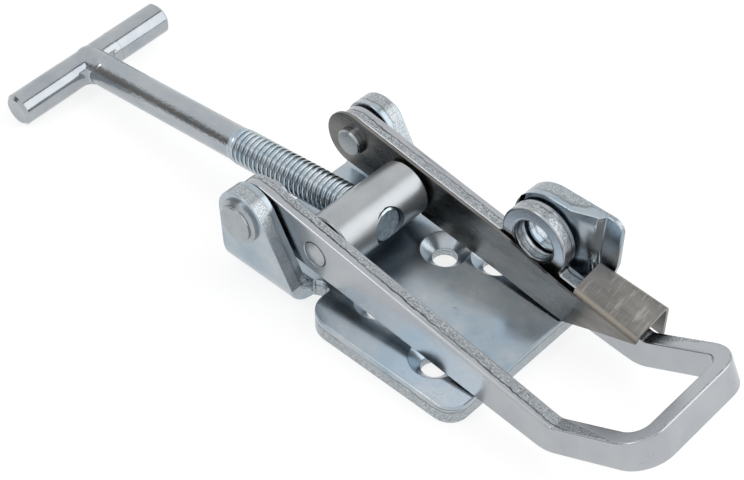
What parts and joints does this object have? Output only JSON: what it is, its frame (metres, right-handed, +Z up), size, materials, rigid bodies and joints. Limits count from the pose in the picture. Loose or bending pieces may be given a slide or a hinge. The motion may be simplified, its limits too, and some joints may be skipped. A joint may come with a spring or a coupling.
{
  "type": "over-centre latch",
  "caption": "Over-centre latch: bent base plate with ears, loop lever with padlock eye, cross trunnion, adjustable T-bolt and sprung safety cap, drawn closed.",
  "frame": {"origin": "under the lever's pivot line, midway between the arms, on the base plate's underside", "axes": "+X from the pivot towards the lever's handle, +Y to the arm with the padlock eye, +Z up from the surface it is screwed to"},
  "size_m": [0.2721, 0.072, 0.043],
  "materials": {
    "plate_zinc": "bright zinc plated",
    "pin_zinc": "bright zinc plated",
    "lever_zinc": "bright zinc plated",
    "trunnion_zinc": "bright zinc plated",
    "bolt_zinc": "bright zinc plated",
    "spring_stainless": "rolled spring steel"
  },
  "bodies": {
    "base": {"base_plate": "plate_zinc", "near_pivot_pin": "pin_zinc", "far_pivot_pin": "pin_zinc"},
    "lever": {"lever": "lever_zinc"},
    "trunnion": {"trunnion": "trunnion_zinc"},
    "tee_bolt": {"tee_bolt": "bolt_zinc"},
    "safety_spring": {"safety_spring": "spring_stainless"}
  },
  "joints": [
    {"name": "lever_pivot", "type": "hinge", "parent": "base", "child": "lever", "pos_m": [0, 0, 0.0263], "axis": [0, -1, 0], "range_deg": [0, 165]},
    {"name": "trunnion_turn", "type": "hinge", "parent": "lever", "child": "trunnion", "pos_m": [0.0246, 0, 0.0221], "axis": [0, -1, 0], "range_deg": [-165, 0]},
    {"name": "bolt_adjust", "type": "slide", "parent": "trunnion", "child": "tee_bolt", "axis": [0.9946, 0, 0.1042], "range_m": [-0.005, 0.05]},
    {"name": "spring_release", "type": "hinge", "parent": "lever", "child": "safety_spring", "pos_m": [-0.0112, 0.01907, 0.0259], "axis": [0, 0, -1], "range_deg": [0, 1.5], "stiffness_Nm_per_rad": 4}
  ],
  "couplings": [
    {"joint": "trunnion_turn", "follows": "lever_pivot", "ratio": -1}
  ]
}
